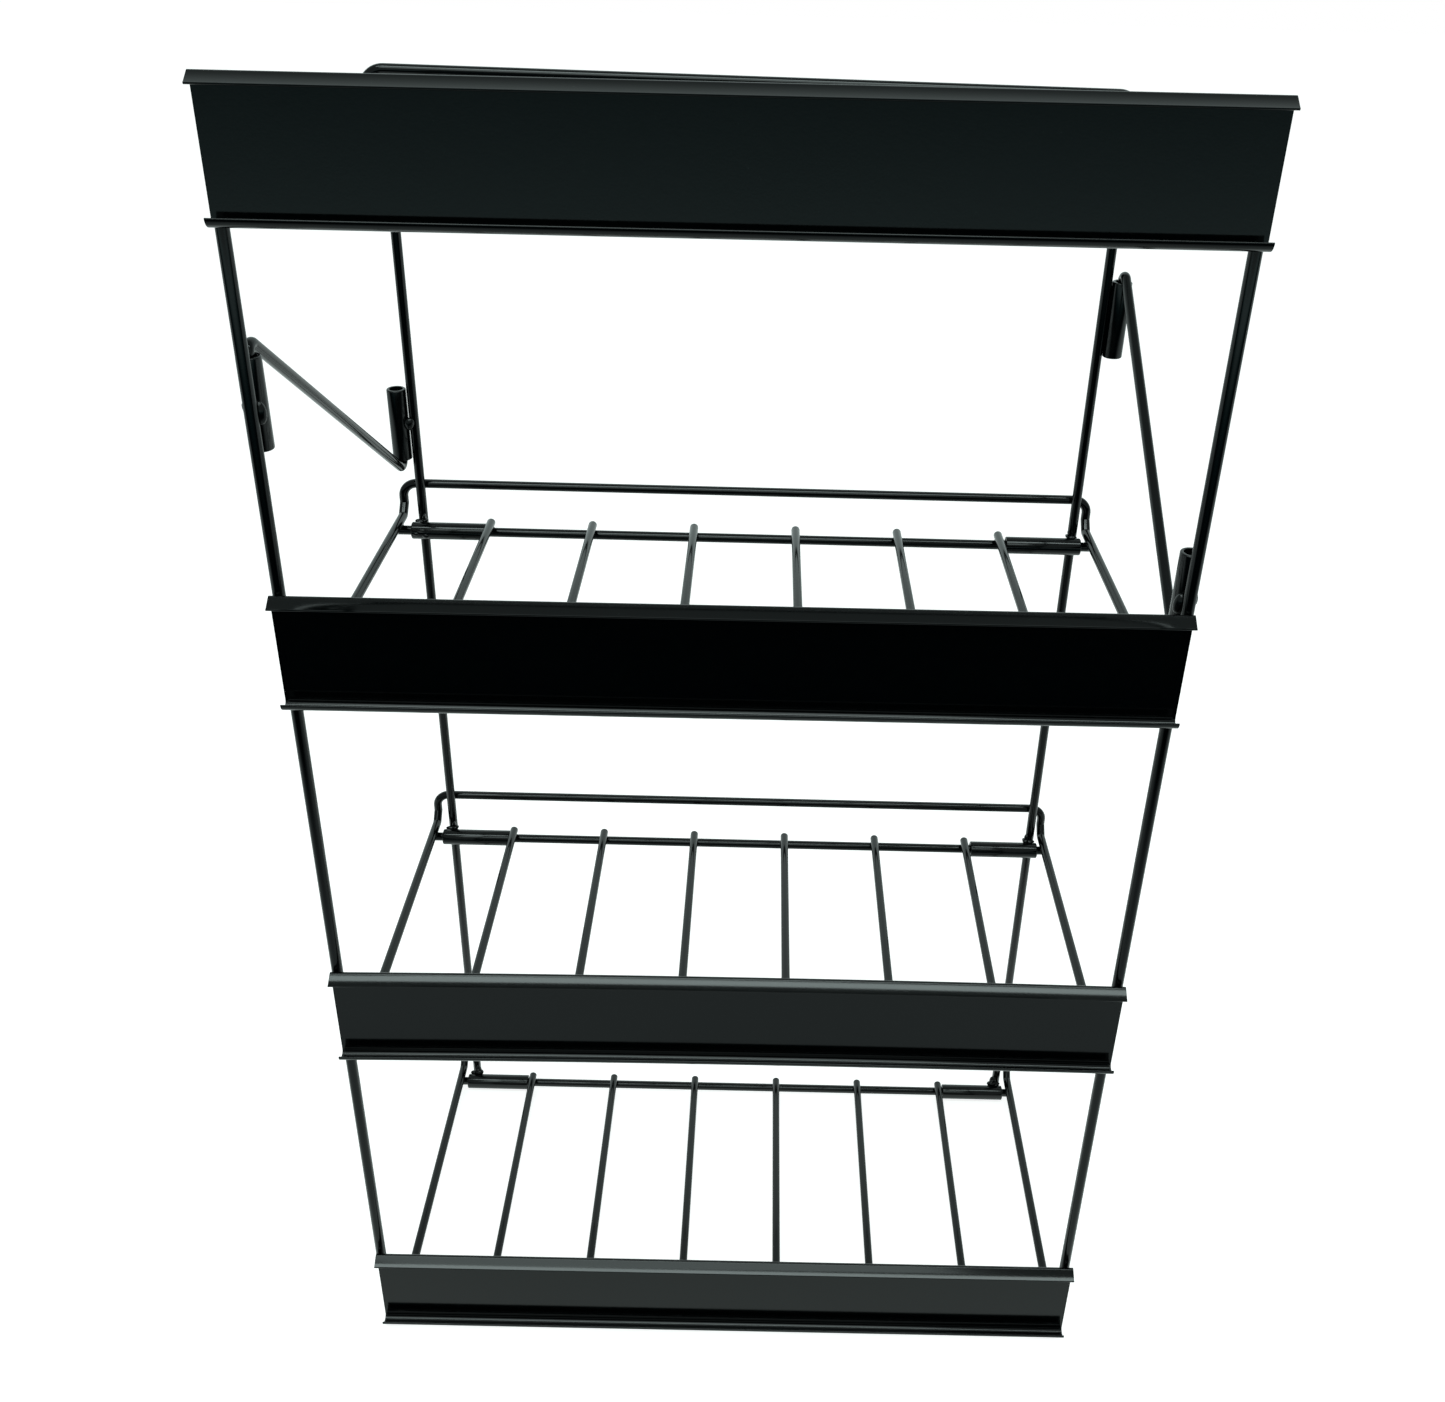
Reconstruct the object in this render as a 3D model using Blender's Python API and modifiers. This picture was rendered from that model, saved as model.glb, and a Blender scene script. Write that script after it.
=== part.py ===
import math

import bpy
from mathutils import Vector

for old in list(bpy.data.objects):
    bpy.data.objects.remove(old, do_unlink=True)

# Overall layout, in metres, +Z up, front towards -Y.
PANEL_WIDTH = 0.4572
PANEL_HEIGHT = 0.0612
SHEET = 0.0010
SHELF_PITCH = 0.2440
LOWEST_BEND = 0.0050
FRAME_DEPTH = 0.2100
TOUCH_GAP = 0.0003

# Wire radii.
FRONT_WIRE = 0.003175
REAR_WIRE = 0.0030
AXLE_WIRE = 0.0030
EDGE_WIRE = 0.0029
RAIL_WIRE = 0.0029
RUNNER_WIRE = 0.0027
ARM_WIRE = 0.0029

# Uprights: how far the front ones stand in from the panel ends, and the rear ones from those.
# The rear frame and its shelves stand a little to the right of the front frame's middle.
FRONT_UPRIGHT_INSET = 0.0030
REAR_STEP_IN = 0.0156
UPRIGHT_BEHIND_HEADER = 0.0530
BACK_SHIFT = 0.0038
REAR_BAR_HEIGHT = 0.7698
REAR_CORNER_RADIUS = 0.0120

# Bent sheet section: a gutter along the bottom edge and a sloping lip along the top one.
GUTTER_HEEL_RADIUS = 0.0032
GUTTER_TOE_RADIUS = 0.0048
GUTTER_TOE_SWEEP = math.radians(82)
GUTTER_DROP = 0.0017
LIP_FOLD_RADIUS = 0.0012
LIP_SLOPE = math.radians(36)
LIP_FACE = 0.0058

# Tubes for the shelf axles and upright sleeves for the arm legs.
TUBE_RADIUS = 0.0055
TUBE_BORE = 0.0038
TUBE_CHAMFER = 0.0005
SLEEVE_RADIUS = 0.0059
SLEEVE_BORE = 0.0041
HINGE_TUBE_LENGTH = 0.0480
HINGE_TUBE_OVERHANG = 0.0045
SLEEVE_LENGTH = 0.0460
SLEEVE_GAP = 0.0004
FRONT_LEFT_SLEEVE_BASE = 0.6245
REAR_LEFT_SLEEVE_BASE = 0.5390
REAR_RIGHT_SLEEVE_BASE = 0.6200
FRONT_RIGHT_SLEEVE_BASE = 0.5375

# Arms.
ARM_CORNER_OFFSET = 0.0080
ARM_BEND_RADIUS = 0.0043
ARM_LEG = 0.0480

# Shelves.
AXLE_RISE = 0.0008
EDGE_OUTSET = 0.0096
FENCE_RISE = 0.0201
EDGE_HEEL_RADIUS = 0.0040
FENCE_CORNER_RADIUS = 0.0090
SHELF_FRONT_SETBACK = 0.0310
RAIL_SETBACK = 0.0350
RUNNER_COUNT = 6
RUNNER_TO_TUBE = 0.0038
RUNNER_OVERHANG = 0.0028

# Mesh fineness.
WIRE_RESOLUTION = 3
THIN_WIRE_RESOLUTION = 2
BEND_STEPS = 6
TUBE_STEPS = 16

# Places that follow from the sizes above.
HEADER_BEND = LOWEST_BEND + 3 * SHELF_PITCH
FRONT_UPRIGHT_TOP = HEADER_BEND + UPRIGHT_BEHIND_HEADER
FRONT_UPRIGHT_X = PANEL_WIDTH / 2 - FRONT_UPRIGHT_INSET
REAR_UPRIGHT_X = FRONT_UPRIGHT_X - REAR_STEP_IN
HINGE_TUBE_OUTER_END = REAR_UPRIGHT_X + HINGE_TUBE_OVERHANG
HINGE_TUBE_INNER_END = HINGE_TUBE_OUTER_END - HINGE_TUBE_LENGTH
OUTER_RUNNER_X = HINGE_TUBE_INNER_END - RUNNER_TO_TUBE
RUNNER_PITCH = 2 * OUTER_RUNNER_X / (RUNNER_COUNT - 1)
EDGE_X = REAR_UPRIGHT_X + EDGE_OUTSET
REAR_SLEEVE_X = REAR_UPRIGHT_X + REAR_WIRE + SLEEVE_GAP + SLEEVE_RADIUS
FRONT_SLEEVE_SETBACK = FRONT_WIRE + TOUCH_GAP + SLEEVE_RADIUS
SHEET_BACK = FRONT_WIRE + TOUCH_GAP
SHEET_MIDDLE = SHEET_BACK + SHEET / 2
GUTTER_REACH = (SHEET_MIDDLE + GUTTER_HEEL_RADIUS
                + GUTTER_TOE_RADIUS * math.sin(GUTTER_TOE_SWEEP) + SHEET / 2)
FENCE_BEHIND = REAR_WIRE + TOUCH_GAP + EDGE_WIRE
FRONT_Y = (GUTTER_REACH - FRAME_DEPTH - FENCE_BEHIND - EDGE_WIRE) / 2
REAR_Y = FRONT_Y + FRAME_DEPTH
AXLE_Y = REAR_Y - REAR_WIRE - TOUCH_GAP - TUBE_RADIUS
FENCE_Y = REAR_Y + FENCE_BEHIND
SHELF_FRONT_Y = FRONT_Y + SHELF_FRONT_SETBACK
RAIL_Y = FRONT_Y + RAIL_SETBACK
FRONT_SLEEVE_Y = FRONT_Y + FRONT_SLEEVE_SETBACK
EDGE_ABOVE_AXLE = AXLE_WIRE + TOUCH_GAP + EDGE_WIRE
RUNNER_ABOVE_AXLE = AXLE_WIRE + TOUCH_GAP + RUNNER_WIRE
LEFT_ARM_TOP = FRONT_LEFT_SLEEVE_BASE + SLEEVE_LENGTH + ARM_CORNER_OFFSET
LEFT_ARM_BOTTOM = REAR_LEFT_SLEEVE_BASE - ARM_CORNER_OFFSET
RIGHT_ARM_TOP = REAR_RIGHT_SLEEVE_BASE + SLEEVE_LENGTH + ARM_CORNER_OFFSET
RIGHT_ARM_BOTTOM = FRONT_RIGHT_SLEEVE_BASE - ARM_CORNER_OFFSET
LEFT_SLEEVE_X = BACK_SHIFT - REAR_SLEEVE_X
RIGHT_SLEEVE_X = BACK_SHIFT + REAR_SLEEVE_X
SIDES = {"left": -1, "right": 1}

parts = bpy.data.collections.new("display_rack")
bpy.context.scene.collection.children.link(parts)


def black_coat(name, roughness):
    material = bpy.data.materials.new(name)
    material.use_nodes = True
    shader = material.node_tree.nodes["Principled BSDF"]
    shader.inputs["Base Color"].default_value = (0.020, 0.021, 0.019, 1.0)
    shader.inputs["Roughness"].default_value = roughness
    shader.inputs["Metallic"].default_value = 0.0
    return material


def pivot(name, place):
    empty = bpy.data.objects.new(name, None)
    empty.location = place
    empty.empty_display_size = 0.02
    parts.objects.link(empty)
    return empty


def place_part(name, data, roughness, carrier):
    data.materials.append(black_coat(name, roughness))
    part = bpy.data.objects.new(name, data)
    parts.objects.link(part)
    if carrier is not None:
        part.parent = carrier
    return part


def bent_path(corners, radii):
    """Straight runs between the corners, joined by an arc at each inner corner."""
    corners = [Vector(corner) for corner in corners]
    path = [corners[0]]
    for before, corner, after, radius in zip(corners, corners[1:], corners[2:], radii):
        incoming = (corner - before).normalized()
        outgoing = (after - corner).normalized()
        turn = incoming.angle(outgoing)
        start = corner - incoming * radius * math.tan(turn / 2)
        inward = (outgoing - incoming * incoming.dot(outgoing)).normalized()
        centre = start + inward * radius
        for step in range(BEND_STEPS + 1):
            angle = turn * step / BEND_STEPS
            path.append(centre - inward * radius * math.cos(angle)
                        + incoming * radius * math.sin(angle))
    path.append(corners[-1])
    return path


def wire(name, path, radius, carrier=None, resolution=WIRE_RESOLUTION, round_ends=True):
    """Round wire along the path, its cut ends slightly rounded."""
    path = [Vector(point) for point in path]
    swell = [1.0] * len(path)
    if round_ends:
        for end, inner in ((0, 1), (-1, -2)):
            along = (path[inner] - path[end]).normalized()
            steps = [(path[end] + along * radius * 0.22, 0.84), (path[end] + along * radius * 0.60, 1.0)]
            if end == 0:
                path[1:1] = [place for place, _ in steps]
                swell[:1] = [0.5] + [size for _, size in steps]
            else:
                path[-1:-1] = [place for place, _ in reversed(steps)]
                swell[-1:] = [size for _, size in reversed(steps)] + [0.5]
    data = bpy.data.curves.new(name, "CURVE")
    data.dimensions = "3D"
    data.bevel_depth = radius
    data.bevel_resolution = resolution
    data.use_fill_caps = True
    spline = data.splines.new("POLY")
    spline.points.add(len(path) - 1)
    origin = carrier.location if carrier is not None else Vector((0, 0, 0))
    for point, place, size in zip(spline.points, path, swell):
        point.co = (*(place - origin), 1.0)
        point.radius = size
    spline.use_smooth = True
    return place_part(name, data, 0.42, carrier)


def tube(name, centre, length, outer, bore, carrier=None, lying=False):
    """Hollow turned tube: outer side top to bottom, then up the bore."""
    half = length / 2
    profile = [(outer - TUBE_CHAMFER, half), (outer, half - TUBE_CHAMFER),
               (outer, TUBE_CHAMFER - half), (outer - TUBE_CHAMFER, -half),
               (bore, -half), (bore, half)]
    data = bpy.data.meshes.new(name)
    count = len(profile)
    data.from_pydata([(radius, 0.0, height) for radius, height in profile],
                     [(index, (index + 1) % count) for index in range(count)], [])
    part = place_part(name, data, 0.45, carrier)
    screw = part.modifiers.new("turn", "SCREW")
    screw.steps = TUBE_STEPS
    screw.render_steps = TUBE_STEPS
    screw.use_merge_vertices = True
    screw.merge_threshold = 0.00001
    screw.use_smooth_shade = True
    origin = carrier.location if carrier is not None else Vector((0, 0, 0))
    part.location = Vector(centre) - origin
    if lying:
        part.rotation_euler = (0.0, math.pi / 2, 0.0)
    return part


def sleeve(name, x, y, base, carrier=None):
    return tube(name, (x, y, base + SLEEVE_LENGTH / 2), SLEEVE_LENGTH, SLEEVE_RADIUS, SLEEVE_BORE, carrier)


def arc(centre, radius, start, sweep, steps):
    return [(centre[0] + radius * math.cos(start + sweep * step / steps),
             centre[1] + radius * math.sin(start + sweep * step / steps))
            for step in range(steps + 1)]


def sheet_section():
    """Closed section of the bent sheet, as depth and height from its bottom bend line."""
    heel = (-SHEET_MIDDLE - GUTTER_HEEL_RADIUS, GUTTER_HEEL_RADIUS - GUTTER_DROP)
    toe = (heel[0], GUTTER_TOE_RADIUS - GUTTER_DROP)
    top = PANEL_HEIGHT - SHEET / 2 - LIP_FOLD_RADIUS
    fold = (-SHEET_MIDDLE - LIP_FOLD_RADIUS, top)
    middle = arc(toe, GUTTER_TOE_RADIUS, -math.pi / 2 - GUTTER_TOE_SWEEP, GUTTER_TOE_SWEEP, 6)
    middle += arc(heel, GUTTER_HEEL_RADIUS, -math.pi / 2, math.pi / 2, 6)[1:]
    middle += arc(fold, LIP_FOLD_RADIUS, 0.0, math.pi / 2 + LIP_SLOPE, 6)
    last = middle[-1]
    middle.append((last[0] - LIP_FACE * math.cos(LIP_SLOPE), last[1] - LIP_FACE * math.sin(LIP_SLOPE)))
    front = []
    back = []
    for index, (depth, height) in enumerate(middle):
        before = middle[max(index - 1, 0)]
        after = middle[min(index + 1, len(middle) - 1)]
        along = Vector((after[0] - before[0], after[1] - before[1])).normalized()
        front.append((depth - along.y * SHEET / 2, height + along.x * SHEET / 2))
        back.append((depth + along.y * SHEET / 2, height - along.x * SHEET / 2))
    return back + front[::-1]


def sheet_panel(name, bend_height, carrier):
    """Section in the depth and height plane, spread evenly across the width."""
    section = sheet_section()
    data = bpy.data.curves.new(name, "CURVE")
    data.dimensions = "2D"
    data.fill_mode = "BOTH"
    data.extrude = PANEL_WIDTH / 2
    spline = data.splines.new("POLY")
    spline.points.add(len(section) - 1)
    for point, (depth, height) in zip(spline.points, section):
        point.co = (depth, height, 0.0, 1.0)
    spline.use_cyclic_u = True
    part = place_part(name, data, 0.38, carrier)
    part.rotation_euler = (math.pi / 2, 0.0, math.pi / 2)
    part.location = Vector((0.0, FRONT_Y, bend_height)) - carrier.location
    return part


# Rear frame: one inverted U with the hinge tubes and the two rear sleeves on it.
wire("rear_frame_wire",
     bent_path([(BACK_SHIFT - REAR_UPRIGHT_X, REAR_Y, 0.0),
                (BACK_SHIFT - REAR_UPRIGHT_X, REAR_Y, REAR_BAR_HEIGHT),
                (BACK_SHIFT + REAR_UPRIGHT_X, REAR_Y, REAR_BAR_HEIGHT),
                (BACK_SHIFT + REAR_UPRIGHT_X, REAR_Y, 0.0)],
               [REAR_CORNER_RADIUS, REAR_CORNER_RADIUS]),
     REAR_WIRE, round_ends=False)
sleeve("rear_sleeve_left", LEFT_SLEEVE_X, REAR_Y, REAR_LEFT_SLEEVE_BASE)
sleeve("rear_sleeve_right", RIGHT_SLEEVE_X, REAR_Y, REAR_RIGHT_SLEEVE_BASE)

# Arms: each goes down into one sleeve and up into the other.
left_pivot = pivot("left_arm_pivot", (LEFT_SLEEVE_X, REAR_Y, LEFT_ARM_BOTTOM))
right_pivot = pivot("right_arm_pivot", (RIGHT_SLEEVE_X, REAR_Y, RIGHT_ARM_TOP))
wire("left_arm",
     bent_path([(-FRONT_UPRIGHT_X, FRONT_SLEEVE_Y, LEFT_ARM_TOP - ARM_LEG),
                (-FRONT_UPRIGHT_X, FRONT_SLEEVE_Y, LEFT_ARM_TOP),
                (LEFT_SLEEVE_X, REAR_Y, LEFT_ARM_BOTTOM),
                (LEFT_SLEEVE_X, REAR_Y, LEFT_ARM_BOTTOM + ARM_LEG)],
               [ARM_BEND_RADIUS, ARM_BEND_RADIUS]),
     ARM_WIRE, left_pivot)
wire("right_arm",
     bent_path([(RIGHT_SLEEVE_X, REAR_Y, RIGHT_ARM_TOP - ARM_LEG),
                (RIGHT_SLEEVE_X, REAR_Y, RIGHT_ARM_TOP),
                (FRONT_UPRIGHT_X, FRONT_SLEEVE_Y, RIGHT_ARM_BOTTOM),
                (FRONT_UPRIGHT_X, FRONT_SLEEVE_Y, RIGHT_ARM_BOTTOM + ARM_LEG)],
               [ARM_BEND_RADIUS, ARM_BEND_RADIUS]),
     ARM_WIRE, right_pivot)

# Front frame: two uprights, the header, three channels and a sleeve behind each upright.
front_pivot = pivot("front_frame_pivot", (-FRONT_UPRIGHT_X, FRONT_SLEEVE_Y, LEFT_ARM_TOP))
for side, sign in SIDES.items():
    wire("front_upright_" + side,
         [(sign * FRONT_UPRIGHT_X, FRONT_Y, 0.0), (sign * FRONT_UPRIGHT_X, FRONT_Y, FRONT_UPRIGHT_TOP)],
         FRONT_WIRE, front_pivot, round_ends=False)
sleeve("front_sleeve_left", -FRONT_UPRIGHT_X, FRONT_SLEEVE_Y, FRONT_LEFT_SLEEVE_BASE, front_pivot)
sleeve("front_sleeve_right", FRONT_UPRIGHT_X, FRONT_SLEEVE_Y, FRONT_RIGHT_SLEEVE_BASE, front_pivot)
sheet_panel("header_panel", HEADER_BEND, front_pivot)

# Shelves, counted from the top: a bent edge wire, an axle, a front rail and the runners.
for number in (1, 2, 3):
    bend_height = LOWEST_BEND + (3 - number) * SHELF_PITCH
    axle_height = bend_height + AXLE_RISE
    edge_height = axle_height + EDGE_ABOVE_AXLE
    fence_height = edge_height + FENCE_RISE
    runner_height = axle_height + RUNNER_ABOVE_AXLE
    shelf_left = BACK_SHIFT - EDGE_X
    shelf_right = BACK_SHIFT + EDGE_X
    sheet_panel("channel_{}".format(number), bend_height, front_pivot)
    for side, sign in SIDES.items():
        tube("hinge_tube_{}_{}".format(number, side),
             (BACK_SHIFT + sign * (HINGE_TUBE_OUTER_END - HINGE_TUBE_LENGTH / 2), AXLE_Y, axle_height),
             HINGE_TUBE_LENGTH, TUBE_RADIUS, TUBE_BORE, lying=True)
    shelf_pivot = pivot("shelf_{}_pivot".format(number), (BACK_SHIFT, AXLE_Y, axle_height))
    wire("shelf_{}_edge".format(number),
         bent_path([(shelf_left, SHELF_FRONT_Y, edge_height), (shelf_left, FENCE_Y, edge_height),
                    (shelf_left, FENCE_Y, fence_height), (shelf_right, FENCE_Y, fence_height),
                    (shelf_right, FENCE_Y, edge_height), (shelf_right, SHELF_FRONT_Y, edge_height)],
                   [EDGE_HEEL_RADIUS, FENCE_CORNER_RADIUS, FENCE_CORNER_RADIUS, EDGE_HEEL_RADIUS]),
         EDGE_WIRE, shelf_pivot, THIN_WIRE_RESOLUTION)
    wire("shelf_{}_axle".format(number),
         [(shelf_left - EDGE_WIRE, AXLE_Y, axle_height), (shelf_right + EDGE_WIRE, AXLE_Y, axle_height)],
         AXLE_WIRE, shelf_pivot)
    wire("shelf_{}_rail".format(number),
         [(shelf_left - EDGE_WIRE, RAIL_Y, axle_height), (shelf_right + EDGE_WIRE, RAIL_Y, axle_height)],
         RAIL_WIRE, shelf_pivot, THIN_WIRE_RESOLUTION)
    for index in range(RUNNER_COUNT):
        runner_x = BACK_SHIFT + index * RUNNER_PITCH - OUTER_RUNNER_X
        wire("shelf_{}_runner_{}".format(number, index + 1),
             [(runner_x, SHELF_FRONT_Y, runner_height),
              (runner_x, AXLE_Y + RUNNER_OVERHANG, runner_height)],
             RUNNER_WIRE, shelf_pivot, THIN_WIRE_RESOLUTION)
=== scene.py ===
import math

import bmesh
import bpy
import numpy as np
from mathutils import Matrix


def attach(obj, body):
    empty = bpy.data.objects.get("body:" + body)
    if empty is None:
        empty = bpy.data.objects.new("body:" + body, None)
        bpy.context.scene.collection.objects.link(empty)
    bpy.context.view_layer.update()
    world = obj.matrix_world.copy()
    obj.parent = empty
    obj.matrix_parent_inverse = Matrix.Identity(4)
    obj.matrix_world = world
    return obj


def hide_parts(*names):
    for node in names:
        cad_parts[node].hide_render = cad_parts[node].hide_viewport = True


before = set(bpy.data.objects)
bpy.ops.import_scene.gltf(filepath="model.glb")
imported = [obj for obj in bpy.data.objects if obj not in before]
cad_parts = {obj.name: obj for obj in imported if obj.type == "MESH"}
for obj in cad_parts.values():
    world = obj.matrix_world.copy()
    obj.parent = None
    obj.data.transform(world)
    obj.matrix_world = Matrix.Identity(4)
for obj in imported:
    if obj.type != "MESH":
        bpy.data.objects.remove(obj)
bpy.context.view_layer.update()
print("frame loaded:", len(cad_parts), "CAD nodes")

# Everything is in metres, in the CAD's own frame: +X right, +Y back, +Z up from the floor.
rack = {
    "frontY": -0.103336, "rearY": 0.106664, "touchGap": 0.0003,
    "lowestBend": 0.005, "shelfPitch": 0.244, "frontUprightX": 0.2256, "frontUprightTop": 0.790,
    "frontWire": 0.003175, "rearUprightX": 0.210, "rearWire": 0.0030, "rearBar": 0.7698,
    "rearCorner": 0.012, "backShift": 0.0038, "rearSleeveX": 0.2193, "frontSleeveBack": 0.009375,
}
sleeve = {
    "outer": 0.0059, "bore": 0.0041, "length": 0.046, "frontLeftBase": 0.6252, "rearLeftBase": 0.5398,
    "rearRightBase": 0.618, "frontRightBase": 0.537,
}
hingeTube = {"outer": 0.0055, "bore": 0.0038, "length": 0.048, "overhang": 0.0045, "rise": 0.0008}
axleY = rack["rearY"] - rack["rearWire"] - rack["touchGap"] - hingeTube["outer"]
frontSleeveY = rack["frontY"] + rack["frontSleeveBack"]
sides = (("left", -1), ("right", 1))
bendHeights = {number: rack["lowestBend"] + (3 - number) * rack["shelfPitch"] for number in (1, 2, 3)}
headerBend = rack["lowestBend"] + 3 * rack["shelfPitch"]


# Shader sums: a socket that adds its own Math nodes.
class Value:
    def __init__(self, recipe, socket):
        self.recipe = recipe
        self.socket = socket

    def sum(self, operation, first, second):
        return self.recipe.add("Math", {"operation": operation}, {0: first, 1: second})

    def __add__(self, other):
        return self.sum("ADD", self, other)

    def __radd__(self, other):
        return self.sum("ADD", other, self)

    def __sub__(self, other):
        return self.sum("SUBTRACT", self, other)

    def __rsub__(self, other):
        return self.sum("SUBTRACT", other, self)

    def __mul__(self, other):
        return self.sum("MULTIPLY", self, other)

    def __rmul__(self, other):
        return self.sum("MULTIPLY", other, self)

    def __gt__(self, other):
        return self.sum("GREATER_THAN", self, other)

    def __lt__(self, other):
        return self.sum("LESS_THAN", self, other)


class Recipe:
    def __init__(self, holder):
        holder.use_nodes = True
        self.holder = holder
        self.tree = holder.node_tree
        self.tree.nodes.clear()

    def add(self, kind, settings=None, sockets=None, out=0):
        node = self.tree.nodes.new("ShaderNode" + kind)
        for key, setting in (settings or {}).items():
            if key == "stops":
                ramp = node.color_ramp
                while len(ramp.elements) < len(setting):
                    ramp.elements.new(0.5)
                for element, (place, colour) in zip(ramp.elements, setting):
                    element.position = place
                    element.color = colour
            else:
                setattr(node, key, setting)
        for key, content in (sockets or {}).items():
            if isinstance(content, Value):
                self.tree.links.new(content.socket, node.inputs[key])
            else:
                node.inputs[key].default_value = content
        return Value(self, node.outputs[out] if node.outputs else None)


# Satin powder coat: near black, an orange-peel skin, a slow drift in gloss and a few pale specks.
coat = {
    "deep": (0.0002, 0.0006, 0.0008, 1), "worn": (0.0010, 0.0020, 0.0021, 1),
    "speck": (0.030, 0.038, 0.036, 1), "speckScale": 420.0, "speckOnWear": 0.56,
    "driftScale": 16.0, "driftDetail": 3.0, "peelScale": 950.0, "peelDetail": 2.0,
    "peelHeight": 0.00003, "peelRough": 0.08, "wearScale": 130.0, "wearDetail": 4.0,
    "wearRoughness": 0.65, "wearHeight": 1.5, "ior": 1.5,
}
# Of each coat: its roughness, how far that drifts, the strength of its peel, the share of specks.
coatKinds = {
    "sheetCoat": (0.11, 0.04, 0.16, 0.055), "wireCoat": (0.11, 0.05, 0.14, 0.04),
    "tubeCoat": (0.11, 0.05, 0.16, 0.05), "weldCoat": (0.18, 0.10, 0.5, 0.0),
}


def powderCoat(name, gloss, drift, peel, specks):
    recipe = Recipe(bpy.data.materials.new(name))
    place = recipe.add("TexCoord", out=3)
    slow = recipe.add("TexNoise", sockets={
        "Vector": place, "Scale": coat["driftScale"], "Detail": coat["driftDetail"]})
    grain = recipe.add("TexNoise", sockets={
        "Vector": place, "Scale": coat["peelScale"], "Detail": coat["peelDetail"]})
    wear = recipe.add("TexNoise", sockets={
        "Vector": place, "Scale": coat["wearScale"], "Detail": coat["wearDetail"],
        "Roughness": coat["wearRoughness"]})
    dots = recipe.add("TexVoronoi", {"feature": "F1"},
                      {"Vector": place, "Scale": coat["speckScale"], "Randomness": 1.0})
    body = recipe.add("Mix", {"data_type": "RGBA"},
                      {0: wear * wear, 6: coat["deep"], 7: coat["worn"]}, out=2)
    isSpeck = (dots < specks) * (wear > coat["speckOnWear"])
    colour = recipe.add("Mix", {"data_type": "RGBA"}, {0: isSpeck, 6: body, 7: coat["speck"]}, out=2)
    rough = (slow - 0.5) * drift + (grain - 0.5) * coat["peelRough"] + gloss
    bump = recipe.add("Bump", sockets={"Strength": peel, "Distance": coat["peelHeight"],
                                       "Height": grain + wear * coat["wearHeight"]})
    surface = recipe.add("BsdfPrincipled", sockets={
        "Base Color": colour, "Roughness": rough, "Normal": bump, "Metallic": 0.0,
        "IOR": coat["ior"]})
    recipe.add("OutputMaterial", sockets={"Surface": surface})
    return recipe.holder


sheetCoat, wireCoat, tubeCoat, weldCoat = (powderCoat(name, *kind) for name, kind in coatKinds.items())
print("materials mixed")


# Edges that turn by more than these angles, in radians, are drawn sharp.
creases = {"wire": 0.6, "tube": 0.9, "sheet": 0.7}


# A mesh from rings: points[ring, spot], joined round each ring and from ring to ring.
def ringMesh(name, rings, closed, coatOfIt, sharp):
    count, spots = rings.shape[:2]
    spot = np.arange(spots)
    after = (spot + 1) % spots
    first = np.arange(count if closed else count - 1)[:, None] * spots
    second = (first + spots) % (count * spots)
    quads = np.stack([first + spot, second + spot, second + after, first + after], axis=-1)
    faces = quads.reshape(-1, 4).tolist()
    if not closed:
        faces.append(spot.tolist())
        faces.append(((count - 1) * spots + spot[::-1]).tolist())
    mesh = bpy.data.meshes.new(name)
    mesh.from_pydata(rings.reshape(-1, 3).tolist(), [], faces)
    cleaned = bmesh.new()
    cleaned.from_mesh(mesh)
    bmesh.ops.recalc_face_normals(cleaned, faces=cleaned.faces)
    cleaned.to_mesh(mesh)
    cleaned.free()
    mesh.shade_smooth()
    mesh.set_sharp_from_angle(angle=sharp)
    mesh.materials.append(coatOfIt)
    piece = bpy.data.objects.new(name, mesh)
    bpy.context.scene.collection.objects.link(piece)
    return piece


def stands(piece, body, node):
    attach(piece, body)
    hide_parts(node)
    return piece


# Wires: a circle carried along a path of straight runs and arcs, its cut ends softly rounded.
# No wire here runs along offAxis, so it serves to turn every circle square to its run.
wires = {"spots": 24, "bendSteps": 14, "endRound": 0.30, "tipSteps": 5, "offAxis": (0.48, 0.62, 0.62)}


def bentPath(corners, bends):
    # Arc spot = start + inward * bend * (1 - cos) + incoming * bend * sin, up to the corner's turn.
    corners = np.array(corners, float)
    runs = [corners[:1]]
    for before, corner, after, bend in zip(corners, corners[1:], corners[2:], bends):
        incoming = (corner - before) / np.linalg.norm(corner - before)
        outgoing = (after - corner) / np.linalg.norm(after - corner)
        turn = math.acos(float(np.clip(incoming @ outgoing, -1, 1)))
        start = corner - incoming * bend * math.tan(turn / 2)
        inward = outgoing - incoming * (incoming @ outgoing)
        inward = inward / np.linalg.norm(inward)
        angles = np.linspace(0, turn, wires["bendSteps"] + 1)[:, None]
        runs.append(start + inward * bend * (1 - np.cos(angles)) + incoming * bend * np.sin(angles))
    runs.append(corners[-1:])
    return np.concatenate(runs)


def sweep(name, places, sizes, coatOfIt):
    # Spot on ring = place + size * (sideways * cos + across * sin), both square to the run.
    along = np.gradient(places, axis=0)
    along = along / np.linalg.norm(along, axis=1)[:, None]
    sideways = np.cross(along, np.array(wires["offAxis"]))
    sideways = sideways / np.linalg.norm(sideways, axis=1)[:, None]
    across = np.cross(along, sideways)
    angles = np.linspace(0, 2 * math.pi, wires["spots"], endpoint=False)
    spokes = (sideways[:, None, :] * np.cos(angles)[None, :, None]
              + across[:, None, :] * np.sin(angles)[None, :, None])
    rings = places[:, None, :] + sizes[:, None, None] * spokes
    return ringMesh(name, rings, False, coatOfIt, creases["wire"])


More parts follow.
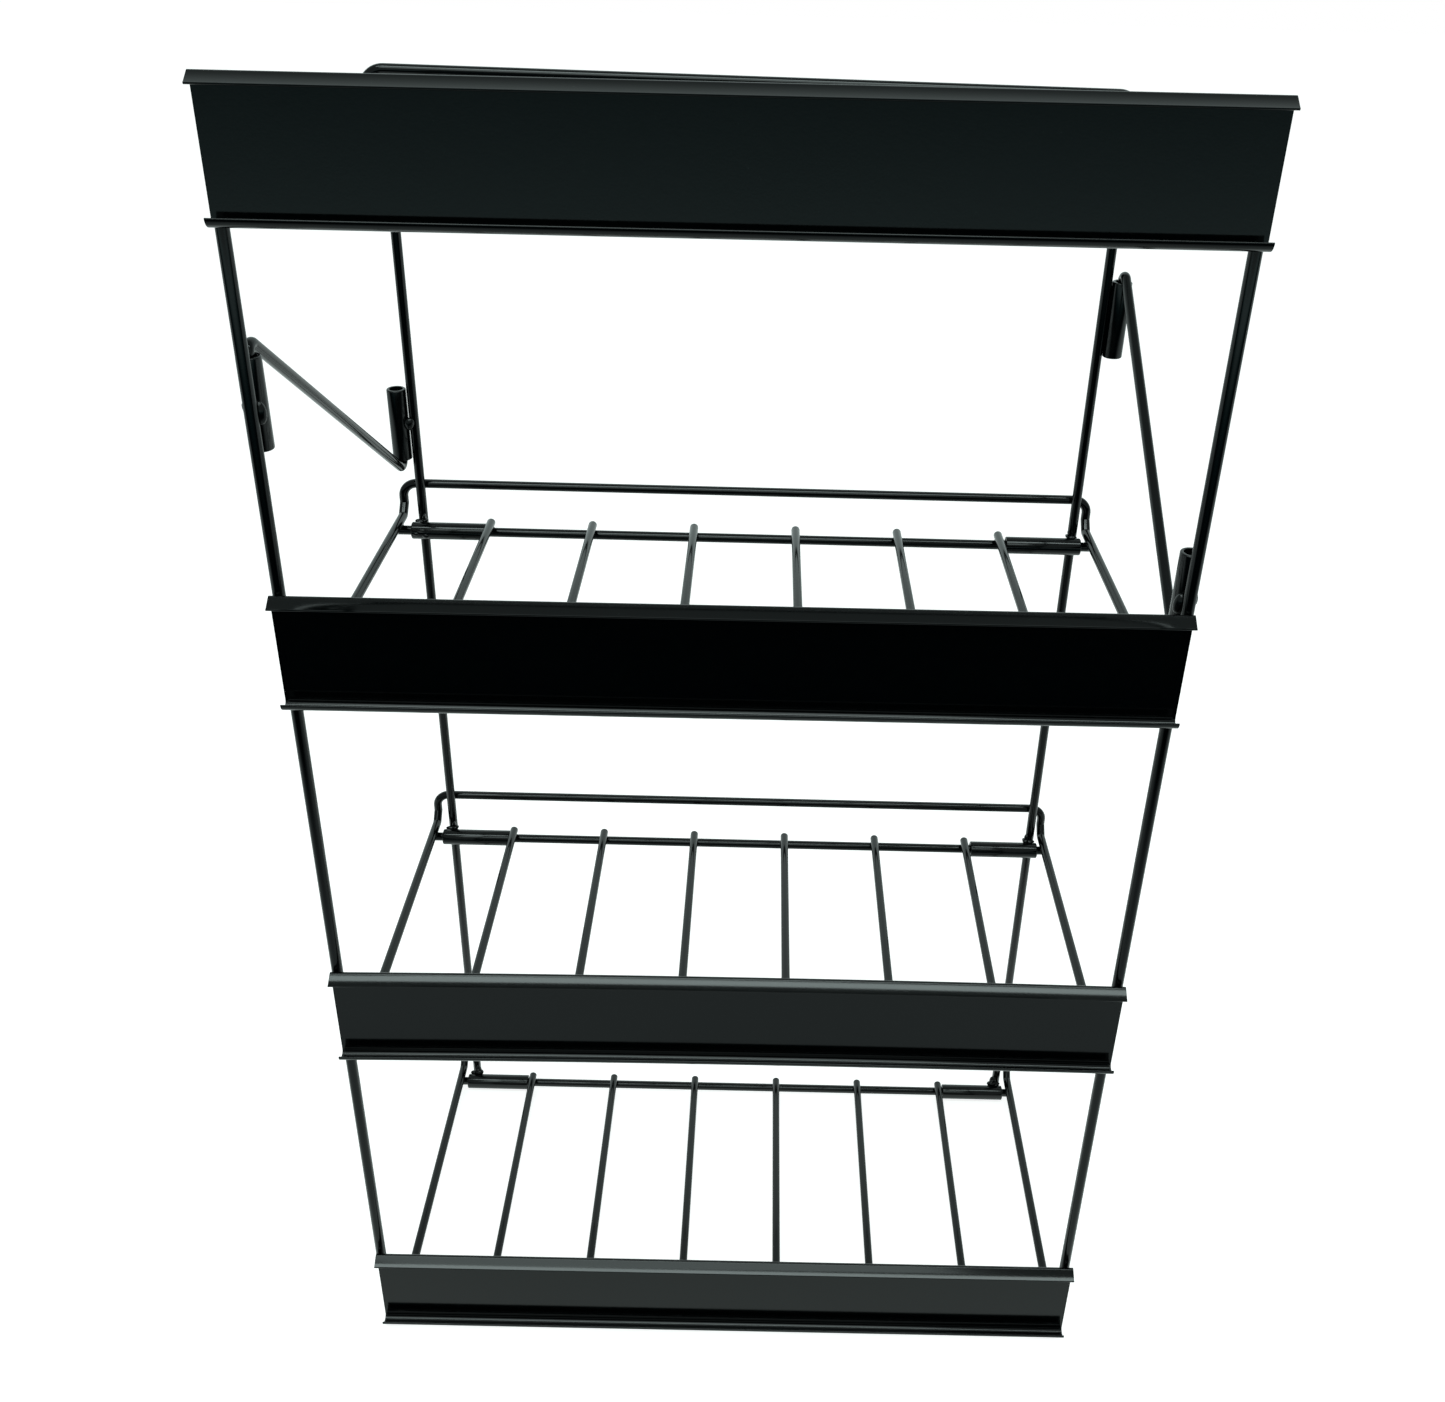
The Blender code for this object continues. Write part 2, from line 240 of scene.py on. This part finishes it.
def roundWire(name, corners, bends, radius, body, node):
    # The tips are quarter rounds: in by depth * (1 - sin), and smaller by depth * (1 - cos).
    path = bentPath(corners, bends)
    depth = radius * wires["endRound"]
    angles = np.linspace(0, math.pi / 2, wires["tipSteps"])
    ends = []
    for tip, inner in ((path[0], path[1]), (path[-1], path[-2])):
        along = (inner - tip) / np.linalg.norm(inner - tip)
        ends.append(tip + along * depth * (1 - np.cos(angles))[:, None])
    swell = radius - depth * (1 - np.sin(angles))
    places = np.concatenate([ends[0], path[1:-1], ends[1][::-1]])
    sizes = np.concatenate([swell, np.full(len(path) - 2, radius), swell[::-1]])
    return stands(sweep(name, places, sizes, wireCoat), body, node)


# Tubes: a rounded wall section turned about its axis.
tubes = {"spots": 48, "lipRound": 0.0007, "boreRound": 0.0003, "lipSteps": 5}


def turnedTube(name, centre, size, direction, body, node):
    # Spot = centre + reach * (cos, sin) square to the axis + rise along it, both from the wall.
    half = size["length"] / 2
    quarter = np.linspace(0, math.pi / 2, tubes["lipSteps"])
    lip, bore = tubes["lipRound"], tubes["boreRound"]
    shell, hole = size["outer"] - lip, size["bore"] + bore
    wall = np.concatenate([
        np.stack([shell + lip * np.sin(quarter), half - lip + lip * np.cos(quarter)], 1),
        np.stack([shell + lip * np.cos(quarter), lip - half - lip * np.sin(quarter)], 1),
        np.stack([hole - bore * np.sin(quarter), bore - half - bore * np.cos(quarter)], 1),
        np.stack([hole - bore * np.cos(quarter), half - bore + bore * np.sin(quarter)], 1),
    ])
    angles = np.linspace(0, 2 * math.pi, tubes["spots"], endpoint=False)[:, None]
    reach = wall[None, :, 0]
    rise = np.broadcast_to(wall[None, :, 1], (len(angles), len(wall)))
    if direction == "up":
        rings = np.stack([reach * np.cos(angles), reach * np.sin(angles), rise], -1)
    else:
        rings = np.stack([rise, reach * np.cos(angles), reach * np.sin(angles)], -1)
    piece = ringMesh(name, rings + np.array(centre), True, tubeCoat, creases["tube"])
    return stands(piece, body, node)


def uprightSleeve(name, x, y, base, body, node):
    return turnedTube(name, (x, y, base + sleeve["length"] / 2), sleeve, "up", body, node)


# Bent sheet: one section, gutter below and sloping lip above, carried across the width.
sheet = {
    "width": 0.4572, "height": 0.0618, "thick": 0.0010, "heel": 0.0032, "toe": 0.0048,
    "toeSweep": 82.0, "drop": 0.0017, "fold": 0.0012, "lipSlope": 36.0, "lipFace": 0.0063,
    "steps": 14, "endRound": 0.00022, "lipBead": 1.6, "toeBead": 0.98, "capSteps": 7,
    "crossInset": 0.002, "crossSteps": 24,
}


def arcOf(centre, radius, start, sweepAngle):
    # Spot = centre + radius * (cos, sin) from the start angle on.
    angles = start + sweepAngle * np.linspace(0, 1, sheet["steps"])
    return np.stack([centre[0] + radius * np.cos(angles), centre[1] + radius * np.sin(angles)], 1)


def sheetSection():
    # The middle line runs toe, heel, face, fold, lip; the skin is that line half a thickness each way.
    middleY = -(rack["frontWire"] + rack["touchGap"] + sheet["thick"] / 2)
    toeSweep, slope = math.radians(sheet["toeSweep"]), math.radians(sheet["lipSlope"])
    heel = (middleY - sheet["heel"], sheet["heel"] - sheet["drop"])
    toe = (heel[0], sheet["toe"] - sheet["drop"])
    fold = (middleY - sheet["fold"], sheet["height"] - sheet["thick"] / 2 - sheet["fold"])
    bends = [arcOf(toe, sheet["toe"], -math.pi / 2 - toeSweep, toeSweep),
             arcOf(heel, sheet["heel"], -math.pi / 2, math.pi / 2)[1:],
             arcOf(fold, sheet["fold"], 0.0, math.pi / 2 + slope)]
    edge = bends[-1][-1] - sheet["lipFace"] * np.array([math.cos(slope), math.sin(slope)])
    middle = np.concatenate(bends + [edge[None]])
    along = np.gradient(middle, axis=0)
    along = along / np.linalg.norm(along, axis=1)[:, None]
    normal = np.stack([-along[:, 1], along[:, 0]], 1)
    half = sheet["thick"] / 2
    # Half rounds on both cut edges.
    turn = np.linspace(0, math.pi, sheet["capSteps"])[1:-1, None]
    toeRound = half * (-normal[:1] * np.cos(turn) - along[:1] * np.sin(turn)) * sheet["toeBead"]
    lipRound = half * (normal[-1:] * np.cos(turn) + along[-1:] * np.sin(turn)) * sheet["lipBead"]
    return np.concatenate([middle + half * normal, middle[-1:] + lipRound,
                           (middle - half * normal)[::-1], middle[:1] + toeRound])


def bentSheet(name, bendHeight, hang, body, node):
    # A panel hangs a little off true: its slide to the right, its lift, its rise per metre and
    # how far its middle bows up: bow * (1 - (x / half)^2).
    slide, lift, slope, bow = hang
    section = sheetSection()
    half = sheet["width"] / 2
    inner = half - sheet["crossInset"]
    across = np.array([-half, -half + sheet["endRound"], half - sheet["endRound"], half])
    across = np.concatenate([across[:2], np.linspace(-inner, inner, sheet["crossSteps"]), across[2:]])
    rings = np.empty((len(across), len(section), 3))
    rings[:, :, 0] = across[:, None] + slide
    rings[:, :, 1] = rack["frontY"] + section[None, :, 0]
    rings[:, :, 2] = bendHeight + lift + section[None, :, 1] + slope * across[:, None]
    rings[:, :, 2] += bow * (1 - (across[:, None] / half) ** 2)
    return stands(ringMesh(name, rings, False, sheetCoat, creases["sheet"]), body, node)


# Weld metal. Each shape is a step in x, y and z off the wire or tube that it is on, and its half
# widths. gussetMuch widens and heightens the gussets, tube by tube from the top.
weld = {
    "gussetMuch": {"left": (0.75, 0.9, 1.5), "right": (0.5, 0.9, 1.5)},
    "gussetFoot": (-0.0032, -0.0040, 0.0052, 0.0026, 0.0026, 0.0016),
    "gussetTop": (-0.0026, -0.0034, 0.0072, 0.0015, 0.0020, 0.0032),
    "tubeAbove": (0, -0.0040, 0.0044, 0.0036, 0.0020, 0.0014),
    "tubeBelow": (0, -0.0040, -0.0042, 0.0036, 0.0020, 0.0014),
    "spatter": ((0.0010, -0.0049, 0.0022, 0.0030, 0.0012, 0.0016),
                (-0.0026, -0.0052, -0.0004, 0.0020, 0.0010, 0.0014),
                (0.0038, -0.0051, -0.0014, 0.0022, 0.0011, 0.0016)),
    "rearLeftSleeve": (0.0068, -0.0032, 0.0014, 0.0030, 0.0027, 0.0042),
    "rearRightSeam": (-0.0062, 0.0004, 0, 0.0009, 0.0012, 0.0215),
    "frontSleeve": (-0.0034, 0.0038, -0.003, 0.0033, 0.0026, 0.0060),
    "frontOuter": (0.0030, 0.0036, 0, 0.0022, 0.0024, 0.0044),
    "panelBack": (-0.0028, -0.0030, 0, 0.0018, 0.0014, 0.0042), "panelRises": (0.008, 0.050),
    "wireCross": (0, 0, 0.0031, 0.0022, 0.0023, 0.0012),
    "rearLump": 0.24, "lump": 0.16, "waves": 5, "waveScale": 2.2, "fullTurn": 6.28,
    "rearSeed": 5, "frontSeed": 7, "shelfSeed": 11,
}


def weldAt(x, y, z, shape, sign=1, much=1):
    stepX, stepY, stepZ, halfX, halfY, halfZ = shape
    return (x + sign * stepX, y + stepY, z + stepZ, halfX * much, halfY, halfZ * much)


# Weld beads: lumpy closed balls, all of a body's in one mesh.
def beads(name, spots, body, nearNode, lump, seed):
    ball = bmesh.new()
    bmesh.ops.create_icosphere(ball, subdivisions=3, radius=1.0)
    unit = np.array([vert.co[:] for vert in ball.verts])
    faces = np.array([[vert.index for vert in face.verts] for face in ball.faces])
    ball.free()
    spots = np.array(spots, float)
    chance = np.random.default_rng(seed)
    waves = chance.normal(size=(len(spots), weld["waves"], 3)) * weld["waveScale"]
    phase = chance.uniform(0, weld["fullTurn"], size=(len(spots), weld["waves"]))
    # Spot = centre + unit * half widths * (1 + lump * ripple), the ripple being a few waves' mean.
    ripple = np.sin(np.einsum("vc,bwc->bvw", unit, waves) + phase[:, None, :]).sum(-1) / weld["waves"]
    points = spots[:, None, :3] + unit[None] * spots[:, None, 3:6] * (1 + lump * ripple[..., None])
    shift = (np.arange(len(spots)) * len(unit))[:, None, None]
    mesh = bpy.data.meshes.new(name)
    mesh.from_pydata(points.reshape(-1, 3).tolist(), [], (faces[None] + shift).reshape(-1, 3).tolist())
    mesh.shade_smooth()
    mesh.materials.append(weldCoat)
    piece = bpy.data.objects.new(name, mesh)
    bpy.context.scene.collection.objects.link(piece)
    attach(piece, body)
    return piece


frontY, rearY, backShift = rack["frontY"], rack["rearY"], rack["backShift"]
frontX, halfSleeve = rack["frontUprightX"], sleeve["length"] / 2

# Rear frame. The left upright and its sleeve stand in by leftIn, the right ones out by rightShift and
# rightSleeveShift. Above splayFrom both uprights splay out by leftOut and rightOut, and the bar
# between them slopes from leftUp to rightUp.
lean = {
    "leftIn": 0.0011, "rightShift": 0.0006, "rightSleeveShift": 0.0003, "splayFrom": 0.690,
    "splayBend": 0.060, "leftOut": 0.0120, "rightOut": 0.0048, "leftUp": 0.0021, "rightUp": -0.0010,
}
rearLeft = backShift - rack["rearUprightX"] + lean["leftIn"]
rearRight = backShift + rack["rearUprightX"] + lean["rightShift"]
leftTopCorner = (rearLeft - lean["leftOut"], rearY, rack["rearBar"] + lean["leftUp"])
rightTopCorner = (rearRight + lean["rightOut"], rearY, rack["rearBar"] + lean["rightUp"])
leftSleeveX = backShift - rack["rearSleeveX"] + lean["leftIn"]
rightSleeveX = backShift + rack["rearSleeveX"] + lean["rightSleeveShift"]
roundWire("rearFrameBend",
          [(rearLeft, rearY, 0), (rearLeft, rearY, lean["splayFrom"]), leftTopCorner,
           rightTopCorner, (rearRight, rearY, lean["splayFrom"]), (rearRight, rearY, 0)],
          [lean["splayBend"], rack["rearCorner"], rack["rearCorner"], lean["splayBend"]],
          rack["rearWire"], "rear_frame", "rear_frame_wire")
uprightSleeve("rearSleeveLeft", leftSleeveX, rearY, sleeve["rearLeftBase"], "rear_frame",
              "rear_sleeve_left")
uprightSleeve("rearSleeveRight", rightSleeveX, rearY, sleeve["rearRightBase"], "rear_frame",
              "rear_sleeve_right")
tubeX = rack["rearUprightX"] + hingeTube["overhang"] - hingeTube["length"] / 2
rearWelds = []
for number, bendHeight in bendHeights.items():
    height = bendHeight + hingeTube["rise"]
    for side, sign in sides:
        turnedTube("hingeTube{}{}".format(number, side.title()),
                   (backShift + sign * tubeX, axleY, height), hingeTube, "across", "rear_frame",
                   "hinge_tube_{}_{}".format(number, side))
        foot = backShift + sign * rack["rearUprightX"]
        much = weld["gussetMuch"][side][number - 1]
        rearWelds += [weldAt(foot, rearY, height, weld["gussetFoot"], sign, much),
                      weldAt(foot, rearY, height, weld["gussetTop"], sign, much),
                      weldAt(foot, rearY, height, weld["tubeAbove"]),
                      weldAt(foot, rearY, height, weld["tubeBelow"])]
# The first left tube also has spatter over its front, and each rear sleeve is welded to its upright.
firstTube = bendHeights[1] + hingeTube["rise"]
rearWelds += [weldAt(rearLeft, axleY, firstTube, shape) for shape in weld["spatter"]]
rearWelds += [weldAt(leftSleeveX, rearY, sleeve["rearLeftBase"] + halfSleeve, weld["rearLeftSleeve"]),
              weldAt(rightSleeveX, rearY, sleeve["rearRightBase"] + halfSleeve, weld["rearRightSeam"])]
beads("rearFrameWelds", rearWelds, "rear_frame", "rear_frame_wire", weld["rearLump"], weld["rearSeed"])
print("rear frame made")

# Arms: each runs from the bottom of one sleeve to the top of another, with a leg in both.
arm = {
    "wire": 0.0029, "bend": 0.0043, "corner": 0.008, "leg": 0.048, "leftTopRise": 0.0006,
    "leftSleeveOut": 0.0008,
}
frontSleeveX = {"left": -frontX - arm["leftSleeveOut"], "right": frontX}
leftTop = sleeve["frontLeftBase"] + sleeve["length"] + arm["corner"] + arm["leftTopRise"]
leftBottom = sleeve["rearLeftBase"] - arm["corner"]
rightTop = sleeve["rearRightBase"] + sleeve["length"] + arm["corner"]
rightBottom = sleeve["frontRightBase"] - arm["corner"]
roundWire("leftArmBend",
          [(frontSleeveX["left"], frontSleeveY, leftTop - arm["leg"]),
           (frontSleeveX["left"], frontSleeveY, leftTop),
           (leftSleeveX, rearY, leftBottom), (leftSleeveX, rearY, leftBottom + arm["leg"])],
          [arm["bend"], arm["bend"]], arm["wire"], "left_arm", "left_arm")
roundWire("rightArmBend",
          [(rightSleeveX, rearY, rightTop - arm["leg"]), (rightSleeveX, rearY, rightTop),
           (frontX, frontSleeveY, rightBottom), (frontX, frontSleeveY, rightBottom + arm["leg"])],
          [arm["bend"], arm["bend"]], arm["wire"], "right_arm", "right_arm")
print("arms made")

# Front frame. Of each panel: its name, its bend's height, how it hangs and the node it stands for.
panels = (("headerSheet", headerBend, (0.0004, -0.0005, 0.0035, 0.0), "header_panel"),
          ("channelSheet1", bendHeights[1], (-0.0005, -0.0005, 0.0040, 0.0), "channel_1"),
          ("channelSheet2", bendHeights[2], (0.0004, 0.0001, 0.0055, 0.0018), "channel_2"),
          ("channelSheet3", bendHeights[3], (0.0013, 0.0007, 0.0015, 0.0), "channel_3"))
frontWelds = []
for side, sign in sides:
    roundWire("frontUpright" + side.title(),
              [(sign * frontX, frontY, 0), (sign * frontX, frontY, rack["frontUprightTop"])], [],
              rack["frontWire"], "front_frame", "front_upright_" + side)
    base = sleeve["front" + side.title() + "Base"]
    uprightSleeve("frontSleeve" + side.title(), frontSleeveX[side], frontSleeveY, base, "front_frame",
                  "front_sleeve_" + side)
    middle = base + halfSleeve
    frontWelds += [weldAt(frontSleeveX[side], frontY, middle, weld["frontSleeve"], sign),
                   weldAt(sign * frontX, frontY, middle, weld["frontOuter"], sign)]
for name, bendHeight, hang, node in panels:
    bentSheet(name, bendHeight, hang, "front_frame", node)
    for side, sign in sides:
        for rise in weld["panelRises"]:
            frontWelds.append(weldAt(sign * frontX, frontY, bendHeight + rise, weld["panelBack"], sign))
beads("frontFrameWelds", frontWelds, "front_frame", "front_upright_left", weld["lump"],
      weld["frontSeed"])
print("front frame made")

# Shelves. The edge wire rises on a slope behind the axle, then kinks straight up to the fence.
# slides and widen shift and widen each shelf's edge, from the top shelf down.
shelf = {
    "edgeWire": 0.0029, "axleWire": 0.0030, "railWire": 0.0029, "runnerWire": 0.0027,
    "edgeX": 0.2196, "fenceRise": 0.0201, "heelBend": 0.0032, "kinkBend": 0.0020, "fenceBend": 0.009,
    "slopeRun": 0.0062, "slopeRise": 0.0066, "slides": (-0.0013, -0.0009, 0.0), "widen": (0.001, 0, 0),
    "front": 0.031, "railAt": 0.035, "runners": 6, "tubeToRunner": 0.0038, "runnerOverhang": 0.0028,
}
edgeUp = shelf["axleWire"] + rack["touchGap"] + shelf["edgeWire"]
runnerUp = shelf["axleWire"] + rack["touchGap"] + shelf["runnerWire"]
fenceY = rearY + rack["rearWire"] + rack["touchGap"] + shelf["edgeWire"]
outerRunner = tubeX - hingeTube["length"] / 2 - shelf["tubeToRunner"]
shelfFront, railY = frontY + shelf["front"], frontY + shelf["railAt"]
slopeY = fenceY - shelf["slopeRun"]
for number, bendHeight in bendHeights.items():
    body = "shelf_{}".format(number)
    axle = bendHeight + hingeTube["rise"]
    edge, fence, runner = axle + edgeUp, axle + edgeUp + shelf["fenceRise"], axle + runnerUp
    kink = edge + shelf["slopeRise"]
    middle = backShift + shelf["slides"][number - 1]
    edgeReach = shelf["edgeX"] + shelf["widen"][number - 1]
    leftEdge, rightEdge = middle - edgeReach, middle + edgeReach
    roundWire("shelf{}EdgeBend".format(number),
              [(leftEdge, shelfFront, edge), (leftEdge, slopeY, edge), (leftEdge, fenceY, kink),
               (leftEdge, fenceY, fence), (rightEdge, fenceY, fence), (rightEdge, fenceY, kink),
               (rightEdge, slopeY, edge), (rightEdge, shelfFront, edge)],
              [shelf["heelBend"], shelf["kinkBend"], shelf["fenceBend"], shelf["fenceBend"],
               shelf["kinkBend"], shelf["heelBend"]],
              shelf["edgeWire"], body, body + "_edge")
    for kind, lineY, radius in (("Axle", axleY, shelf["axleWire"]), ("Rail", railY, shelf["railWire"])):
        roundWire("shelf{}{}Bar".format(number, kind),
                  [(leftEdge - shelf["edgeWire"], lineY, axle),
                   (rightEdge + shelf["edgeWire"], lineY, axle)], [], radius, body,
                  body + "_" + kind.lower())
    shelfWelds = []
    for index in range(shelf["runners"]):
        runnerX = middle + outerRunner * (2 * index / (shelf["runners"] - 1) - 1)
        roundWire("shelf{}Runner{}".format(number, index + 1),
                  [(runnerX, shelfFront, runner), (runnerX, axleY + shelf["runnerOverhang"], runner)],
                  [], shelf["runnerWire"], body, "{}_runner_{}".format(body, index + 1))
        shelfWelds += [weldAt(runnerX, lineY, axle, weld["wireCross"]) for lineY in (axleY, railY)]
    for edgeX in (leftEdge, rightEdge):
        shelfWelds += [weldAt(edgeX, lineY, axle, weld["wireCross"]) for lineY in (axleY, railY)]
    beads("shelf{}Welds".format(number), shelfWelds, body, body + "_edge", weld["lump"],
          weld["shelfSeed"] + number)
print("shelves made")

# Studio: white floor that keeps the shadow and shows glossy rays a painted reflection, two soft lamps
# overhead, a white wall behind the rack.
studio = {
    "floorHalf": 9.0, "floorDrop": 0.0004, "floorColour": (0.80, 0.81, 0.79, 1), "floorGlow": 0.80,
    "lampPlace": (-0.20, -1.30, 2.05), "lampSize": (1.3, 1.2), "lampPower": 8.4,
    "stripPlace": (0.0, -0.50, 2.0), "stripSize": (1.9, 0.30), "stripPower": 8.5,
    "lampAim": (0.0, 0.0, 0.4), "fill": 0.25, "wall": 0.80, "wallFrom": 0.20, "wallTo": 0.70,
    "tint": (0.84, 1.0, 0.98, 1), "white": (1, 1, 1, 1),
}
# Painted reflection: glossy rays see the floor as a glow, not as the lit floor. From far in front of
# the rack (0) up to its middle (1): grey far off, painted dark under the camera, bright just in front.
# To both sides, from asideFrom out, a brighter painted shine.
paintedReflection = {
    "perMetre": 0.18, "asideFrom": 0.60, "asideTo": 1.50, "frontFrom": -1.40, "frontTo": -0.30,
    "paintedShine": (0.55, 0.65, 0.64, 1),
    "stops": [
        (0.0, (0.36, 0.50, 0.50, 1)), (0.25, (0.17, 0.25, 0.25, 1)), (0.41, (0.035, 0.085, 0.092, 1)),
        (0.70, (0.002, 0.006, 0.008, 1)), (0.845, (0.001, 0.003, 0.005, 1)),
        (0.90, (0.21, 0.25, 0.25, 1)), (0.925, (0.29, 0.35, 0.35, 1)), (0.97, (0.32, 0.38, 0.365, 1)),
        (1.0, (0.70, 0.80, 0.78, 1))],
}
floorMesh = bpy.data.meshes.new("floor")
far = studio["floorHalf"]
floorMesh.from_pydata([(-far, -far, 0), (far, -far, 0), (far, far, 0), (-far, far, 0)], [],
                      [(0, 1, 2, 3)])
floor = bpy.data.objects.new("floor", floorMesh)
bpy.context.scene.collection.objects.link(floor)
floor.location.z = -studio["floorDrop"]
floorMix = Recipe(bpy.data.materials.new("floorPaint"))
rays = floorMix.add("LightPath")
isCamera = Value(floorMix, rays.socket.node.outputs["Is Camera Ray"])
isGlossy = Value(floorMix, rays.socket.node.outputs["Is Glossy Ray"])
matt = floorMix.add("BsdfDiffuse", sockets={"Color": studio["floorColour"]})
glow = floorMix.add("Emission", sockets={"Color": studio["white"],
                                         "Strength": isCamera * studio["floorGlow"]})
place = floorMix.add("TexCoord", out=3)
split = floorMix.add("SeparateXYZ", sockets={"Vector": place})
depth = Value(floorMix, split.socket.node.outputs["Y"])
# Colour of the painted reflection, by how far in front of the rack a floor point lies.
ramp = floorMix.add("ValToRGB", {"stops": paintedReflection["stops"]},
                    {"Fac": depth * paintedReflection["perMetre"] + 1.0})
sideways = Value(floorMix, split.socket.node.outputs["X"])
away = floorMix.add("Math", {"operation": "ABSOLUTE"}, {0: sideways})
aside = floorMix.add("MapRange", {"interpolation_type": "SMOOTHSTEP"}, {
    "Value": away, "From Min": paintedReflection["asideFrom"], "From Max": paintedReflection["asideTo"]})
front = floorMix.add("MapRange", {"interpolation_type": "SMOOTHSTEP"}, {
    "Value": depth, "From Min": paintedReflection["frontFrom"], "From Max": paintedReflection["frontTo"]})
# Painted shine to both sides, mixed over the ramp.
paintedShine = floorMix.add("Mix", {"data_type": "RGBA"},
                     {0: aside * front, 6: ramp, 7: paintedReflection["paintedShine"]}, out=2)
# Painted reflection: a glow on the floor that only glossy rays see.
paintedGlossGlow = floorMix.add("Emission", sockets={"Color": paintedShine, "Strength": 1.0})
shown = floorMix.add("AddShader", sockets={0: matt, 1: glow})
# Glossy rays get the painted reflection glow, all other rays the lit white floor.
both = floorMix.add("MixShader", sockets={0: isGlossy, 1: shown, 2: paintedGlossGlow})
floorMix.add("OutputMaterial", sockets={"Surface": both})
floorMesh.materials.append(floorMix.holder)

world = bpy.data.worlds.new("studioWorld")
bpy.context.scene.world = world
sky = Recipe(world)
skyRays = sky.add("LightPath")
skyCamera = Value(sky, skyRays.socket.node.outputs["Is Camera Ray"])
# A white wall behind the rack, from wallFrom to wallTo in the direction's y, a dimmer room elsewhere.
compass = sky.add("TexCoord", out=0)
heading = sky.add("SeparateXYZ", sockets={"Vector": compass})
behind = sky.add("MapRange", {"interpolation_type": "SMOOTHSTEP"}, {
    "Value": Value(sky, heading.socket.node.outputs["Y"]), "From Min": studio["wallFrom"],
    "From Max": studio["wallTo"], "To Min": studio["fill"], "To Max": studio["wall"]})
skyStrength = skyCamera * (1 - behind) + behind
skyColour = sky.add("Mix", {"data_type": "RGBA"},
                    {0: skyCamera, 6: studio["tint"], 7: studio["white"]}, out=2)
skyGlow = sky.add("Background", sockets={"Color": skyColour, "Strength": skyStrength})
sky.add("OutputWorld", sockets={"Surface": skyGlow})

for name, place, size, power in (
        ("overheadLamp", studio["lampPlace"], studio["lampSize"], studio["lampPower"]),
        ("stripLamp", studio["stripPlace"], studio["stripSize"], studio["stripPower"])):
    lamp = bpy.data.lights.new(name, "AREA")
    lamp.shape = "RECTANGLE"
    lamp.size, lamp.size_y = size
    lamp.energy = power
    lamp.color = studio["tint"][:3]
    holder = bpy.data.objects.new(name, lamp)
    bpy.context.scene.collection.objects.link(holder)
    holder.location = place
    aim = np.array(studio["lampAim"]) - np.array(place)
    holder.rotation_euler = (math.atan2(math.hypot(aim[0], aim[1]), -aim[2]), 0.0,
                             math.atan2(aim[1], aim[0]) - math.pi / 2)

# Camera: yaw to the right, pitch down and roll, in degrees; lens and sensor in millimetres.
view = {
    "place": (0.01113, -0.71917, 0.87871), "yaw": 0.4583, "pitch": 27.9344, "roll": 1.6313,
    "lens": 34.949, "sensor": 36.0, "shift": (-0.03030, -0.06610), "clipStart": 0.01,
}
yaw, pitch, roll = (math.radians(view[key]) for key in ("yaw", "pitch", "roll"))
ahead = np.array([math.sin(yaw) * math.cos(pitch), math.cos(yaw) * math.cos(pitch), -math.sin(pitch)])
flatRight = np.array([math.cos(yaw), -math.sin(yaw), 0.0])
flatUp = np.cross(flatRight, ahead)
right = flatRight * math.cos(roll) + flatUp * math.sin(roll)
up = flatUp * math.cos(roll) - flatRight * math.sin(roll)
cameraData = bpy.data.cameras.new("photoCamera")
cameraData.sensor_width = view["sensor"]
cameraData.sensor_fit = "HORIZONTAL"
cameraData.lens = view["lens"]
cameraData.shift_x, cameraData.shift_y = view["shift"]
cameraData.clip_start = view["clipStart"]
camera = bpy.data.objects.new("photoCamera", cameraData)
bpy.context.scene.collection.objects.link(camera)
pose = np.eye(4)
pose[:3, 0], pose[:3, 1], pose[:3, 2], pose[:3, 3] = right, up, -ahead, view["place"]
camera.matrix_world = Matrix(pose.tolist())
bpy.context.scene.camera = camera
bpy.context.scene.view_settings.view_transform = "Standard"

print("studio set")
